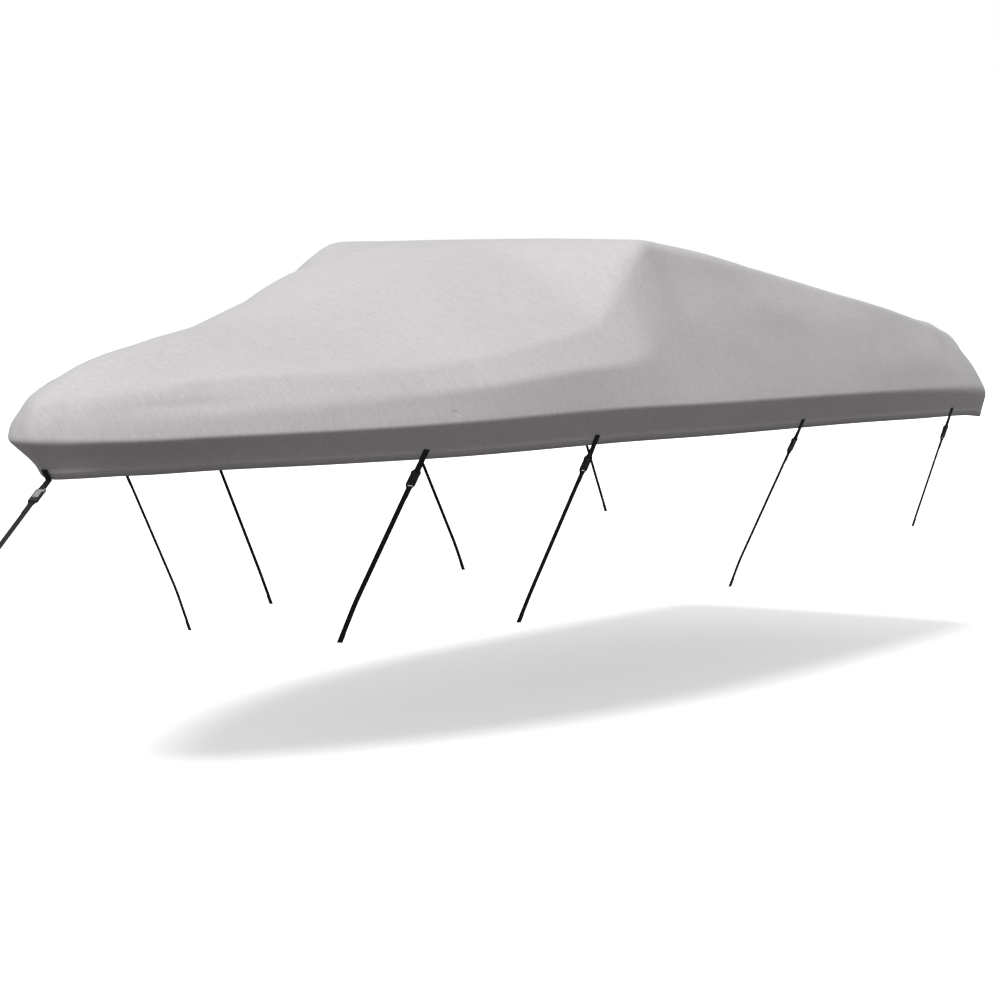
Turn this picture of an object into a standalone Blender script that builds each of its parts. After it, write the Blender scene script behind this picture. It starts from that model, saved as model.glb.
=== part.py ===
"""Fitted boat cover: one sheet of coated cloth in the shape in which it hangs, with nine webbing ties.

Frame: +X aft, +Y starboard, +Z up, metres. The origin is on the underside of the cloth, at the middle
of the brow, which is the highest line of the cover. The bow is at -X.

The cloth is lofted through a few stations. A station is a half section, from the hem at the bottom of
the skirt, over the rim, where the skirt turns in under the widest line, and over two soft shoulders
to the crown on the middle line. The stations follow the rim from the bow to the middle of the stern.
"""

import math
from collections import namedtuple

import bmesh
import bpy
from mathutils import Matrix, Vector

# Cloth
CLOTH = 0.002              # thickness of the coated cloth
HEM_CLOTH = 0.003          # thickness of the turned and sewn hem
RIM_LEVEL = -0.641         # height of the rim amidships, measured from the origin
RIM_ROUND = 0.030          # how far the rounding reaches to each side of the rim
WIDE_ROUND = 9.0           # the crown is rounded as far as its straight pieces reach
LONGEST_ROUND = 0.48       # share of a straight piece that a rounding may take

# Webbing ties
WEB_WIDTH = 0.025
WEB = 0.0014               # thickness of one layer of webbing
GAP = 0.0003               # between pieces that touch
PLAY = 0.0006              # between the plug and the socket
LAYER_GAP = 0.0002         # between two layers of one webbing
TAB_ON_SKIRT = 0.042       # length of the sewn part of a tab
BAR = 0.0032               # height and thickness of the bars that the webbing turns round
BAR_DROP = 0.044           # from the hem down to the socket's bar
TURN = 0.0033              # radius of the webbing's middle where it turns round a bar
TAIL = 0.047               # free end of a strap, in front of it and below the plug's bar
END_LAP = 0.035            # length folded back and sewn at a strap's lower end
FOLD_STEPS = 3
BEND_REACH = 0.020         # how far the bend near a strap's lower end spreads
TURN_STEPS = 7             # straight pieces of webbing round a bar
NEARBY = 0.010             # step along the rim for the direction of the hem

# Buckles, seen from the front: half widths and heights below the socket's bar
SOCKET_HALF = 0.0190
SOCKET_THICK = 0.0110
SOCKET_FOOT = 0.0430       # lower end of the socket
NOTCH_TOP = 0.0170         # upper end of the notch for the plug's arm
NOTCH_HALF = 0.0125        # half width of the socket between the notches
PLUG_THICK = 0.0090
PLUG_BAR = 0.0660          # from the socket's bar to the plug's bar
SLOT_HALF = 0.0140         # half width of the slots that the webbing passes
SLOT = 0.0052              # height of a slot
FRAME = 0.0040             # plastic left beside a slot
CORNER = 0.0010            # cut of the plates' corners, seen from the front
EDGE = 0.0006              # bevel of the buckles' edges

# One row for each station. x and y place the rim, and "rise" is its height over RIM_LEVEL.
# Below the rim, the hem lies "tuck" further in and "drop" lower, and the skirt is hollowed by "hollow".
# Above the rim, the shoulders lie "in" further in and "up" higher than the rim.
# "full" says how near to the upper shoulder the top starts, and "fall" is the top's slope from the crown.
# "soft" and "bend" round the upper and the lower shoulder.
# The crown lies on the middle line at crown_x, crown_up over RIM_LEVEL.
# "steps" is the number of rows of cloth faces from the station before to this one.
Station = namedtuple("Station", "x y rise tuck drop hollow low_in low_up high_in high_up"
                                " full fall soft bend crown_x crown_up steps")
STATIONS = {
    "bow": Station(-2.72, 0.00, -0.060, 0.100, 0.125, 0.010, 0.014, 0.060, 0.056, 0.132,
                   0.56, 0.17, 0.05, 0.030, -2.10, 0.252, 0),
    "bow side": Station(-2.67, 0.115, -0.060, 0.085, 0.120, 0.012, 0.020, 0.060, 0.070, 0.144,
                        0.52, 0.17, 0.05, 0.030, -2.10, 0.252, 2),
    "nose": Station(-2.55, 0.24, -0.060, 0.110, 0.115, 0.014, 0.024, 0.064, 0.080, 0.158,
                    0.38, 0.15, 0.05, 0.035, -2.10, 0.252, 2),
    "fore shoulder": Station(-2.22, 0.445, -0.050, 0.095, 0.115, 0.008, 0.028, 0.080, 0.098, 0.174,
                             0.20, 0.06, 0.05, 0.035, -2.05, 0.264, 3),
    "foredeck": Station(-1.80, 0.645, -0.040, 0.080, 0.118, 0.004, 0.034, 0.095, 0.120, 0.188,
                        0.20, 0.00, 0.05, 0.035, -1.75, 0.310, 3),
    "rise": Station(-1.30, 0.82, -0.025, 0.070, 0.125, 0.000, 0.036, 0.115, 0.126, 0.206,
                    0.22, 0.00, 0.05, 0.035, -1.30, 0.415, 4),
    "face": Station(-0.75, 0.95, -0.005, 0.060, 0.130, 0.000, 0.044, 0.150, 0.150, 0.262,
                    0.30, 0.00, 0.05, 0.040, -0.80, 0.555, 4),
    "brow foot": Station(-0.42, 1.00, 0.000, 0.060, 0.130, 0.000, 0.068, 0.165, 0.203, 0.310,
                         0.36, 0.00, 0.06, 0.050, -0.55, 0.605, 4),
    "wing foot": Station(-0.30, 1.01, 0.000, 0.060, 0.130, 0.000, 0.080, 0.190, 0.240, 0.390,
                         0.38, 0.00, 0.08, 0.060, -0.42, 0.620, 2),
    "wing": Station(-0.20, 1.02, 0.000, 0.060, 0.130, 0.000, 0.098, 0.225, 0.255, 0.500,
                    0.45, 0.00, 0.08, 0.080, -0.28, 0.633, 2),
    "brow": Station(0.00, 1.04, 0.000, 0.060, 0.130, 0.000, 0.124, 0.280, 0.292, 0.632,
                    0.50, 0.00, 0.05, 0.110, 0.00, 0.643, 3),
    "lee": Station(0.24, 1.05, 0.000, 0.060, 0.130, 0.000, 0.152, 0.330, 0.318, 0.608,
                   0.50, 0.00, 0.05, 0.120, 0.24, 0.616, 2),
    "waist": Station(1.10, 1.05, 0.000, 0.060, 0.130, 0.000, 0.115, 0.275, 0.268, 0.492,
                     0.50, 0.00, 0.03, 0.120, 1.10, 0.497, 5),
    "aft": Station(2.00, 1.05, -0.005, 0.050, 0.130, 0.000, 0.070, 0.190, 0.160, 0.364,
                   0.50, 0.00, 0.03, 0.100, 1.95, 0.368, 5),
    "quarter": Station(2.64, 1.04, -0.020, 0.040, 0.120, 0.000, 0.056, 0.150, 0.148, 0.284,
                       0.50, 0.04, 0.06, 0.080, 2.35, 0.290, 4),
    "corner": Station(2.96, 0.95, -0.040, 0.030, 0.118, 0.000, 0.074, 0.124, 0.215, 0.255,
                      0.50, 0.08, 0.12, 0.080, 2.35, 0.290, 3),
    "stern side": Station(3.035, 0.60, -0.035, 0.030, 0.115, 0.000, 0.080, 0.140, 0.230, 0.278,
                          0.50, 0.11, 0.12, 0.080, 2.35, 0.290, 3),
    "stern": Station(3.04, 0.00, -0.030, 0.030, 0.115, 0.000, 0.080, 0.140, 0.230, 0.275,
                     0.50, 0.12, 0.12, 0.080, 2.35, 0.290, 4),
}

# Folds: soft ridges (+) and troughs (-) that run straight between two points near the cloth.
Fold = namedtuple("Fold", "start end height width")
FOLDS = (
    Fold((-2.45, -0.23, -0.49), (-1.75, -0.50, -0.455), 0.006, 0.055),
    Fold((-2.20, -0.30, -0.44), (-1.45, -0.55, -0.38), -0.006, 0.070),
    Fold((-1.90, -0.56, -0.61), (-1.20, -0.80, -0.58), -0.006, 0.060),
    Fold((0.35, -0.92, -0.33), (1.30, -0.98, -0.46), -0.008, 0.110),
    Fold((0.60, -0.83, -0.20), (2.10, -0.90, -0.40), 0.007, 0.120),
    Fold((1.20, -1.00, -0.55), (2.50, -0.97, -0.52), 0.007, 0.090),
    Fold((-2.35, 0.26, -0.49), (-1.60, 0.56, -0.455), 0.006, 0.060),
    Fold((-2.00, 0.36, -0.42), (-1.30, 0.58, -0.36), -0.006, 0.075),
    Fold((-0.92, 0.60, -0.27), (0.06, 0.73, -0.03), 0.040, 0.180),
    Fold((0.50, 0.90, -0.30), (1.60, 0.96, -0.45), -0.008, 0.110),
    Fold((0.90, 0.84, -0.24), (2.30, 0.90, -0.42), 0.007, 0.120),
    Fold((0.90, -0.25, -0.09), (2.20, -0.30, -0.23), -0.010, 0.160),
    Fold((0.70, 0.30, -0.07), (2.00, 0.24, -0.21), -0.010, 0.160),
    Fold((2.80, -0.30, -0.42), (2.97, -0.34, -0.62), 0.008, 0.090),
    Fold((2.80, 0.42, -0.42), (2.97, 0.36, -0.62), -0.008, 0.100),
)

# Ties: where each leaves the hem along x, how many degrees it leans in towards the middle line, how
# long it runs in that line, and its lean and length below its bend. The bow tie leans forwards instead.
Tie = namedtuple("Tie", "x lean run end_lean end_run")
SIDE_TIES = {
    "1": Tie(-1.48, 29.0, 0.590, 24.5, 0.160),
    "2": Tie(-0.67, 26.0, 0.614, 24.5, 0.136),
    "3": Tie(0.87, 26.0, 0.627, 22.0, 0.122),
    "4": Tie(2.41, 19.0, 0.400, 19.0, 0.145),
}
BOW_TIE = Tie(-2.65, 50.0, 0.250, 50.0, 0.130)

CLOTH_COLOUR = (0.42, 0.415, 0.415, 1.0)
WEBBING_COLOUR = (0.012, 0.012, 0.013, 1.0)
BUCKLE_COLOUR = (0.016, 0.016, 0.017, 1.0)


def clear_scene():
    for thing in list(bpy.data.objects):
        bpy.data.objects.remove(thing, do_unlink=True)


def material(name, colour, roughness):
    made = bpy.data.materials.new(name)
    made.use_nodes = True
    shader = made.node_tree.nodes["Principled BSDF"]
    shader.inputs["Base Color"].default_value = colour
    shader.inputs["Roughness"].default_value = roughness
    shader.inputs["Metallic"].default_value = 0.0
    made.diffuse_color = colour
    return made


# ---------------------------------------------------------------------------------------------------
# Stations and sections
# ---------------------------------------------------------------------------------------------------

def mirrored(station):
    return station._replace(y=-station.y)


def rim_positions(stations):
    """Distance along the rim, seen from above, from the bow to each station."""
    along = [0.0]
    for before, after in zip(stations, stations[1:]):
        along.append(along[-1] + math.hypot(after.x - before.x, after.y - before.y))
    return along


def even_slopes(places, values):
    """Slopes for a smooth curve that never swings past its stations."""
    slopes = []
    for i in range(1, len(places) - 1):
        before, after = places[i] - places[i - 1], places[i + 1] - places[i]
        rise = (values[i] - values[i - 1]) / before
        fall = (values[i + 1] - values[i]) / after
        if rise * fall <= 0:
            slopes.append(0.0)
        else:
            first, second = 2 * after + before, after + 2 * before
            slopes.append((first + second) / (first / rise + second / fall))
    return slopes


class Loft:
    """Stations read as smooth curves along the rim."""

    def __init__(self, stations):
        self.rows = list(stations)
        self.places = rim_positions(self.rows)
        first, last = self.places[1], self.places[-1] - self.places[-2]
        places = [-first] + self.places + [self.places[-1] + last]
        rows = [mirrored(self.rows[1])] + self.rows + [mirrored(self.rows[-2])]
        self.slopes = [even_slopes(places, [row[k] for row in rows]) for k in range(len(Station._fields))]

    def at(self, place):
        index = max(i for i, start in enumerate(self.places[:-1]) if place >= start or i == 0)
        span = self.places[index + 1] - self.places[index]
        t = (place - self.places[index]) / span
        ease_out, ease_in = 2 * t ** 3 - 3 * t ** 2 + 1, 3 * t ** 2 - 2 * t ** 3
        lead, trail = t ** 3 - 2 * t ** 2 + t, t ** 3 - t ** 2
        before, after = self.rows[index], self.rows[index + 1]
        return Station(*(ease_out * before[k] + ease_in * after[k]
                         + span * (lead * self.slopes[k][index] + trail * self.slopes[k][index + 1])
                         for k in range(len(Station._fields))))

    def places_of_rows(self):
        """Places of the rows of cloth faces, as many in each span as its station says."""
        places = [0.0]
        for i, row in enumerate(self.rows[1:]):
            for step in range(1, row.steps + 1):
                places.append(self.places[i] + (self.places[i + 1] - self.places[i]) * step / row.steps)
        return places

    def place_of_hem(self, x):
        """Place whose hem lies at x."""
        low, high = 0.0, self.places[-4]
        for _ in range(40):
            middle = (low + high) / 2
            if section_corners(self.at(middle))[0].x < x:
                low = middle
            else:
                high = middle
        return low


def section_corners(station):
    """Hem, hollow of the skirt, rim, lower and upper shoulder, edge of the top and crown."""
    rim = Vector((station.x, station.y, RIM_LEVEL + station.rise))
    crown = Vector((station.crown_x, 0.0, RIM_LEVEL + station.crown_up))
    inward = Vector((crown.x - rim.x, crown.y - rim.y, 0.0)).normalized()

    def beside_rim(inset, lift):
        return rim + inward * inset + Vector((0, 0, lift))

    hem = beside_rim(station.tuck, -station.drop)
    hollow = beside_rim(station.tuck / 2 + station.hollow, -station.drop / 2)
    low = beside_rim(station.low_in, station.low_up)
    high = beside_rim(station.high_in, station.high_up)
    top = high.lerp(crown, 1 - station.full)
    top.z = crown.z - station.fall * (crown - top).to_2d().length
    return hem, hollow, rim, low, high, top, crown


def rounded_line(corners, reaches, arc_steps):
    """Points along straight pieces between corners, with each inner corner rounded."""
    points = [corners[0]]
    for i, (reach, steps) in enumerate(zip(reaches, arc_steps), start=1):
        corner = corners[i]
        if reach == 0:
            points.append(corner)
            continue
        back, ahead = corners[i - 1] - corner, corners[i + 1] - corner
        start = corner + back.normalized() * min(reach, LONGEST_ROUND * back.length)
        end = corner + ahead.normalized() * min(reach, LONGEST_ROUND * ahead.length)
        for step in range(steps + 1):
            t = step / steps
            points.append(start * (1 - t) ** 2 + corner * 2 * t * (1 - t) + end * t ** 2)
    points.append(corners[-1])
    return points


def section(station):
    """Outer face of the cloth at a station, from the hem to the crown."""
    reaches = (0, RIM_ROUND, station.bend, station.soft, WIDE_ROUND)
    return rounded_line(section_corners(station), reaches, (1, 3, 2, 3, 5))


# ---------------------------------------------------------------------------------------------------
# Cloth
# ---------------------------------------------------------------------------------------------------

def fold_height(point):
    """How far the folds lift the cloth at a point."""
    lift = 0.0
    for fold in FOLDS:
        start, end = Vector(fold.start), Vector(fold.end)
        along = end - start
        share = (point - start).dot(along) / along.length_squared
        if 0 < share < 1:
            away = (point - start - along * share).length / fold.width
            lift += fold.height * math.exp(-away ** 2) * math.sin(math.pi * share)
    return lift


def cloth_mesh(loft):
    """Outer face of the cloth. The first vertex group holds the thickness, which is more at the hem."""
    mesh = bmesh.new()
    thickness = mesh.verts.layers.deform.verify()
    found = {}

    def corner(point, layers):
        key = tuple(round(value, 5) for value in point)
        if key not in found:
            found[key] = mesh.verts.new(point)
            found[key][thickness][0] = layers
        return found[key]

    rows = [section(loft.at(place)) for place in loft.places_of_rows()]
    for side in (1, -1):
        grid = []
        for row in rows:
            points = [Vector((p.x, side * p.y, p.z)) for p in row]
            grid.append([corner(points[0], 1.0)] + [corner(p, CLOTH / HEM_CLOTH) for p in points[1:]])
        for row, after in zip(grid, grid[1:]):
            for k in range(len(row) - 1):
                loop = [row[k], row[k + 1], after[k + 1], after[k]]
                unique = sorted(set(loop), key=loop.index)
                mesh.faces.new(unique[::side])
    mesh.normal_update()
    for vert in mesh.verts:
        vert.co += vert.normal * fold_height(vert.co)
    return mesh


def make_cover(loft, finish):
    shape = cloth_mesh(loft)
    data = bpy.data.meshes.new("cover")
    shape.to_mesh(data)
    shape.free()
    data.shade_smooth()
    data.materials.append(finish)
    cover = bpy.data.objects.new("cover", data)
    bpy.context.collection.objects.link(cover)
    layers = cover.vertex_groups.new(name="layers")
    thick = cover.modifiers.new("cloth", "SOLIDIFY")
    thick.thickness = HEM_CLOTH
    thick.offset = -1.0
    thick.use_even_offset = True
    thick.vertex_group = layers.name
    return cover


# ---------------------------------------------------------------------------------------------------
# Webbing: paths in the tie's own plane, with y out of the cover and z up along the strap
# ---------------------------------------------------------------------------------------------------

def turned(y, z, degrees):
    angle = math.radians(degrees)
    return Vector((0.0, y * math.cos(angle) - z * math.sin(angle), y * math.sin(angle) + z * math.cos(angle)))


def arc(centre, radius, start, end, steps):
    """Points round a centre. 0 degrees is towards +y and 90 towards +z."""
    points = []
    for step in range(steps + 1):
        angle = math.radians(start + (end - start) * step / steps)
        points.append(Vector((0.0, centre.y + radius * math.cos(angle), centre.z + radius * math.sin(angle))))
    return points


def webbing_mesh(path, name):
    """A flat band of webbing along a path in the yz plane, closed at both ends."""
    sides = []
    for i, point in enumerate(path):
        before, after = path[max(i - 1, 0)], path[min(i + 1, len(path) - 1)]
        back, ahead = (point - before).normalized(), (after - point).normalized()
        along = (back + ahead).normalized()
        across = Vector((0.0, -along.z, along.y))
        spread = max(0.5, across.dot(Vector((0.0, -ahead.z, ahead.y))) or 1.0)
        sides.append((point + across * WEB / 2 / spread, point - across * WEB / 2 / spread))
    mesh = bmesh.new()
    rings = []
    for left, right in sides:
        ring = [Vector((x, p.y, p.z)) for p, x in ((left, -WEB_WIDTH / 2), (left, WEB_WIDTH / 2),
                                                   (right, WEB_WIDTH / 2), (right, -WEB_WIDTH / 2))]
        rings.append([mesh.verts.new(point) for point in ring])
    for ring, after in zip(rings, rings[1:]):
        for k in range(4):
            mesh.faces.new((ring[k], ring[(k + 1) % 4], after[(k + 1) % 4], after[k]))
    mesh.faces.new(rings[0][::-1])
    mesh.faces.new(rings[-1])
    bmesh.ops.recalc_face_normals(mesh, faces=mesh.faces)
    data = bpy.data.meshes.new(name)
    mesh.to_mesh(data)
    mesh.free()
    return data


def tab_path(skirt_turn):
    """Two layers on the skirt, meeting round the socket's bar. The skirt is turned from the strap's line."""
    outer, inner = WEB * 1.5 + LAYER_GAP, WEB * 0.5
    bar = Vector((0.0, WEB + LAYER_GAP / 2, -BAR_DROP))
    path = [turned(outer, TAB_ON_SKIRT, skirt_turn), turned(outer, WEB, skirt_turn)]
    path += arc(bar, TURN, 40, -220, TURN_STEPS)
    path += [turned(inner, -WEB, skirt_turn), turned(inner, TAB_ON_SKIRT, skirt_turn)]
    return path


def strap_path(tie):
    """From the free tail, up and round the plug's bar, down the run and past the bend to the sewn end."""
    bar = Vector((0.0, WEB + LAYER_GAP / 2, -BAR_DROP - PLUG_BAR))
    front = bar.y + WEB / 2 + LAYER_GAP / 2
    back = bar.y - WEB / 2 - LAYER_GAP / 2
    path = [Vector((0.0, front, bar.z - TAIL)), Vector((0.0, front, bar.z - 3 * TURN))]
    path += arc(bar, TURN, -40, 220, TURN_STEPS)
    path += [Vector((0.0, back, bar.z - 3 * TURN))]
    bend = Vector((0.0, back, -tie.run))
    bend_turn = tie.lean - tie.end_lean
    ahead = turned(0.0, -1.0, bend_turn)
    path += [bend.lerp(Vector((0.0, back, 0.0)), BEND_REACH / tie.run), bend + ahead * BEND_REACH]
    foot = bend + ahead * tie.end_run
    lap = turned((WEB + LAYER_GAP) / 2, 0.0, bend_turn)
    path += arc(foot + lap, lap.length, 180 + bend_turn, 360 + bend_turn, FOLD_STEPS)
    path += [foot + lap * 2 - ahead * END_LAP]
    return path


# ---------------------------------------------------------------------------------------------------
# Buckles: plates seen from the front, with x across and z up from the socket's bar
# ---------------------------------------------------------------------------------------------------

def cut_corners(points, cut):
    """An outline through points, with its corners cut."""
    outline = []
    for i, point in enumerate(points):
        back, ahead = points[i - 1] - point, points[(i + 1) % len(points)] - point
        reach = min(cut, LONGEST_ROUND * back.length, LONGEST_ROUND * ahead.length)
        start, end = point + back.normalized() * reach, point + ahead.normalized() * reach
        outline += [start, end]
    return outline


def box_outline(half, low, high):
    return [Vector((-half, 0, low)), Vector((half, 0, low)), Vector((half, 0, high)), Vector((-half, 0, high))]


def plate_mesh(name, outline, slot, thickness, bar_level):
    """A plate with a slot, which thins at the bar between the slot and the end of the plate."""
    mesh = bmesh.new()
    edges = []
    for loop in (outline, slot):
        verts = [mesh.verts.new(point) for point in loop]
        edges += [mesh.edges.new((verts[i - 1], verts[i])) for i in range(len(verts))]
    bmesh.ops.triangle_fill(mesh, edges=edges, use_beauty=True)
    front = list(mesh.faces)
    pushed = bmesh.ops.extrude_face_region(mesh, geom=front, use_keep_orig=True)
    backs = [item for item in pushed["geom"] if isinstance(item, bmesh.types.BMVert)]
    fronts = {vert for face in front for vert in face.verts}
    for side, verts in ((-1, fronts), (1, backs)):
        for vert in verts:
            at_bar = abs(vert.co.z - bar_level) < BAR
            vert.co.y = side * (BAR if at_bar else thickness) / 2
    bmesh.ops.recalc_face_normals(mesh, faces=mesh.faces)
    data = bpy.data.meshes.new(name)
    mesh.to_mesh(data)
    mesh.free()
    return data


def plate_outline(right_half):
    right = [Vector((x, 0, z)) for x, z in right_half]
    left = [Vector((-p.x, 0, p.z)) for p in reversed(right)]
    return cut_corners(right + left, CORNER)


def socket_mesh():
    """Bar and slot for the tab, and a body that is notched at both sides for the plug's arms."""
    outline = plate_outline([(SLOT_HALF + FRAME, BAR / 2), (SLOT_HALF + FRAME, -BAR / 2),
                             (SOCKET_HALF, -BAR / 2 - SLOT), (SOCKET_HALF, -NOTCH_TOP),
                             (NOTCH_HALF, -NOTCH_TOP), (NOTCH_HALF, -SOCKET_FOOT)])
    slot = box_outline(SLOT_HALF, -BAR / 2 - SLOT, -BAR / 2)
    return plate_mesh("socket", outline, slot, SOCKET_THICK, 0.0)


def plug_mesh():
    """Base with a slot and bar for the strap, and two arms that lie in the socket's notches."""
    inner = NOTCH_HALF + PLAY
    outer = SOCKET_HALF - EDGE
    bar_top = BAR / 2 - PLUG_BAR
    outline = plate_outline([(inner, -SOCKET_FOOT - PLAY), (inner, -NOTCH_TOP - PLAY),
                             (outer, -NOTCH_TOP - PLAY), (SOCKET_HALF, -SOCKET_FOOT),
                             (SOCKET_HALF, bar_top + SLOT), (SLOT_HALF + FRAME, bar_top),
                             (SLOT_HALF + FRAME, bar_top - BAR)])
    slot = box_outline(SLOT_HALF, bar_top, bar_top + SLOT)
    return plate_mesh("plug", outline, slot, PLUG_THICK, -PLUG_BAR)


# ---------------------------------------------------------------------------------------------------
# Ties
# ---------------------------------------------------------------------------------------------------

def hang_frame(loft, tie, place, side):
    """Frame of a tie, which starts on the skirt's outer face at the hem, and the skirt's angle to it.

    The strap's line is its z axis. Its y axis points out of the cover, in the plane of that line and
    the skirt's normal, so that the tab lies flat on the skirt.
    """
    hem, hollow = section_corners(loft.at(place))[:2]
    lean = math.radians(tie.lean)
    if place:
        ahead = section_corners(loft.at(place + NEARBY))[0] - hem
        along = Vector((0, math.sin(lean), math.cos(lean)))
    else:
        ahead = Vector((0, 1, 0))
        along = Vector((math.sin(lean), 0, math.cos(lean)))
    normal = (hollow - hem).cross(ahead).normalized()
    width = normal.cross(along).normalized()
    face = along.cross(width)
    skirt_turn = math.degrees(math.atan2(normal.dot(along), normal.dot(face)))
    seat = hem + normal * GAP
    for axis in (width, face, along, seat):
        axis.y *= side
    frame = Matrix((width * side, face, along)).transposed().to_4x4()
    frame.translation = seat
    return frame, skirt_turn


def place_piece(name, data, parent, finish, location, bevel):
    if not data.materials:
        data.materials.append(finish)
    piece = bpy.data.objects.new(name, data)
    bpy.context.collection.objects.link(piece)
    piece.parent = parent
    piece.location = location
    if bevel:
        data.shade_smooth()
        data.set_sharp_from_angle(angle=math.radians(35))
        softened = piece.modifiers.new("edges", "BEVEL")
        softened.width = EDGE
        softened.segments = 1
        softened.limit_method = "ANGLE"
    return piece


def make_tie(name, loft, tie, place, side, meshes, finishes):
    frame, skirt_turn = hang_frame(loft, tie, place, side)
    hanger = bpy.data.objects.new("tie_" + name, None)
    bpy.context.collection.objects.link(hanger)
    hanger.matrix_world = frame
    bar = Vector((0.0, WEB + LAYER_GAP / 2, -BAR_DROP))
    tab = webbing_mesh(tab_path(skirt_turn), "tab_" + name)
    strap = webbing_mesh(strap_path(tie), "strap_" + name)
    place_piece("tab_" + name, tab, hanger, finishes["webbing"], (0, 0, 0), False)
    place_piece("socket_" + name, meshes["socket"], hanger, finishes["buckle"], bar, True)
    place_piece("plug_" + name, meshes["plug"], hanger, finishes["buckle"], bar, True)
    place_piece("strap_" + name, strap, hanger, finishes["webbing"], (0, 0, 0), False)


def main():
    clear_scene()
    loft = Loft(STATIONS.values())
    finishes = {"webbing": material("webbing", WEBBING_COLOUR, 0.75),
                "buckle": material("buckle", BUCKLE_COLOUR, 0.42)}
    make_cover(loft, material("cloth", CLOTH_COLOUR, 0.82))
    meshes = {"socket": socket_mesh(), "plug": plug_mesh()}
    for number, tie in SIDE_TIES.items():
        place = loft.place_of_hem(tie.x)
        make_tie("port_" + number, loft, tie, place, -1, meshes, finishes)
        make_tie("star_" + number, loft, tie, place, 1, meshes, finishes)
    make_tie("bow", loft, BOW_TIE, 0.0, 1, meshes, finishes)
    bpy.context.view_layer.update()


main()
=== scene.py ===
"""Looks of the fitted boat cover: coated cloth with a sewn hem, nine webbing ties and their buckles.

Frame: +X aft, +Y starboard, +Z up, metres, with the origin under the middle of the brow. The cloth is
lofted through the same stations as its solid, finer and with more folds, and the ties follow the same
lines. All sizes are real sizes.
"""

import math
from collections import namedtuple

import bmesh
import bpy
from mathutils import Matrix, Vector


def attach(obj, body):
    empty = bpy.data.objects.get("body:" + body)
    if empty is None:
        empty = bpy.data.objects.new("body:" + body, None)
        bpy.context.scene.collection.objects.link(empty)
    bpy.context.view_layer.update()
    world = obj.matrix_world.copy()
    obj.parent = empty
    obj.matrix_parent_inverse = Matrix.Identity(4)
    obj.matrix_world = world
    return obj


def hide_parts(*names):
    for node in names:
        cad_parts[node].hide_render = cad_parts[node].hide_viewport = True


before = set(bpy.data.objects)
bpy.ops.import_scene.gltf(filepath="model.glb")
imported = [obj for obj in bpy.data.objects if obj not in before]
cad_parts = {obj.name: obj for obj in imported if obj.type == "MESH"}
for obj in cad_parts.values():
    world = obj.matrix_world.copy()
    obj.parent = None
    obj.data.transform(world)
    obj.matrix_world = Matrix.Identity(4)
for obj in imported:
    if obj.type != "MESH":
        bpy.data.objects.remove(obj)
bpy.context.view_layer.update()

# ---------------------------------------------------------------------------------------------------
# Sizes of the cloth
# ---------------------------------------------------------------------------------------------------

CLOTH = 0.002              # thickness of the coated cloth
RIM_LEVEL = -0.641         # height of the rim amidships
SKIRT_ROUND = 0.030        # how far the rounding in the hollow of the skirt reaches
WIDE_ROUND = 9.0           # the crown is rounded as far as its straight pieces reach
LONGEST_ROUND = 0.48       # share of a straight piece that a rounding may take
HEM_WIDTH = 0.028          # turned and sewn hem
HEM_STEP = 0.0009          # how far the hem stands proud of the single cloth
HEM_SEAM = 0.023           # from the edge up to the hem's row of stitches
FACE_LENGTH = 0.032        # length of the cloth's faces along the rim
FINE_REACH = 1.35          # how far the finer faces reach along the rim from the bow
FINE_LENGTH = 0.0145       # length of the faces there
HEM_POINTS = 3             # points of a row that lie on the hem
SAME_POINT_DIGITS = 5      # points that agree in so many decimals are one
SEARCH_STEPS = 40          # halvings in the search for a place along the rim
TINY = 1e-9                # keeps a piece without length from dividing by nothing

# Straight pieces in each rounding of a section: the skirt's hollow, the rim, the lower shoulder, the
# upper shoulder and the edge of the top.
ARC_STEPS = (4, 8, 8, 8, 20)

# Faces across the cloth, from the hem to the crown: each stretch ends at a point of the section, where
# a rounding begins or ends, so that the rows follow the rim and both shoulders.
Stretch = namedtuple("Stretch", "end faces")
STRETCHES = (Stretch(6, 6), Stretch(14, 6), Stretch(15, 4), Stretch(23, 6), Stretch(24, 5),
             Stretch(32, 6), Stretch(33, 3), Stretch(54, 26))

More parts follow.
